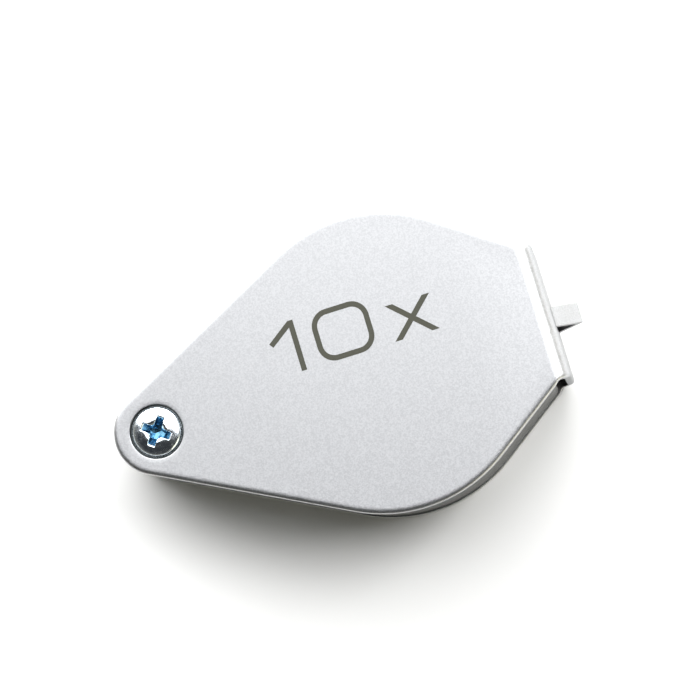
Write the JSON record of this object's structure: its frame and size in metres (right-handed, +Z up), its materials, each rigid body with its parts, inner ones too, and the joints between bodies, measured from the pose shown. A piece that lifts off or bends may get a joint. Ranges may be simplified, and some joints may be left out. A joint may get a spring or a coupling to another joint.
{
  "type": "folding pocket magnifier",
  "caption": "Pocket folding loupe: a two-lens body that swings out of a teardrop folded sheet-metal case on a screw pivot, with a lanyard eye at the wide end.",
  "frame": {"origin": "on the lower plate's outer face, under the middle of the whole loupe's length and width", "axes": "+X from the screw pivot towards the web and lanyard eye, +Z up through the closed case, square to both plates"},
  "size_m": [0.055, 0.0346, 0.0136],
  "materials": {
    "case_satin_chrome": "satin chrome plate with a fine pearl grain",
    "screw_blue_zinc": "blue passivated zinc plate",
    "post_steel": "turned steel, zinc plated",
    "washer_steel": "plain steel",
    "washer_nylon": "natural nylon",
    "body_cast": "tumbled and matte plated casting",
    "cell_black": "black anodised, turned",
    "optical_glass": "polished, single-layer coated"
  },
  "bodies": {
    "case": {"case_shell": "case_satin_chrome", "pivot_post": "post_steel", "pivot_screw": "screw_blue_zinc", "upper_washer": "washer_steel", "spring_washer": "washer_steel", "lower_washer": "washer_nylon"},
    "lens_holder": {"lens_body": "body_cast", "lens_cell": "cell_black", "lower_lens": "optical_glass", "upper_lens": "optical_glass", "spacer_ring": "cell_black", "retaining_ring": "cell_black"}
  },
  "joints": [
    {"name": "lens_swing", "type": "hinge", "parent": "case", "child": "lens_holder", "pos_m": [-0.0225, 0, 0], "axis": [0, 0, 1], "continuous": true}
  ]
}
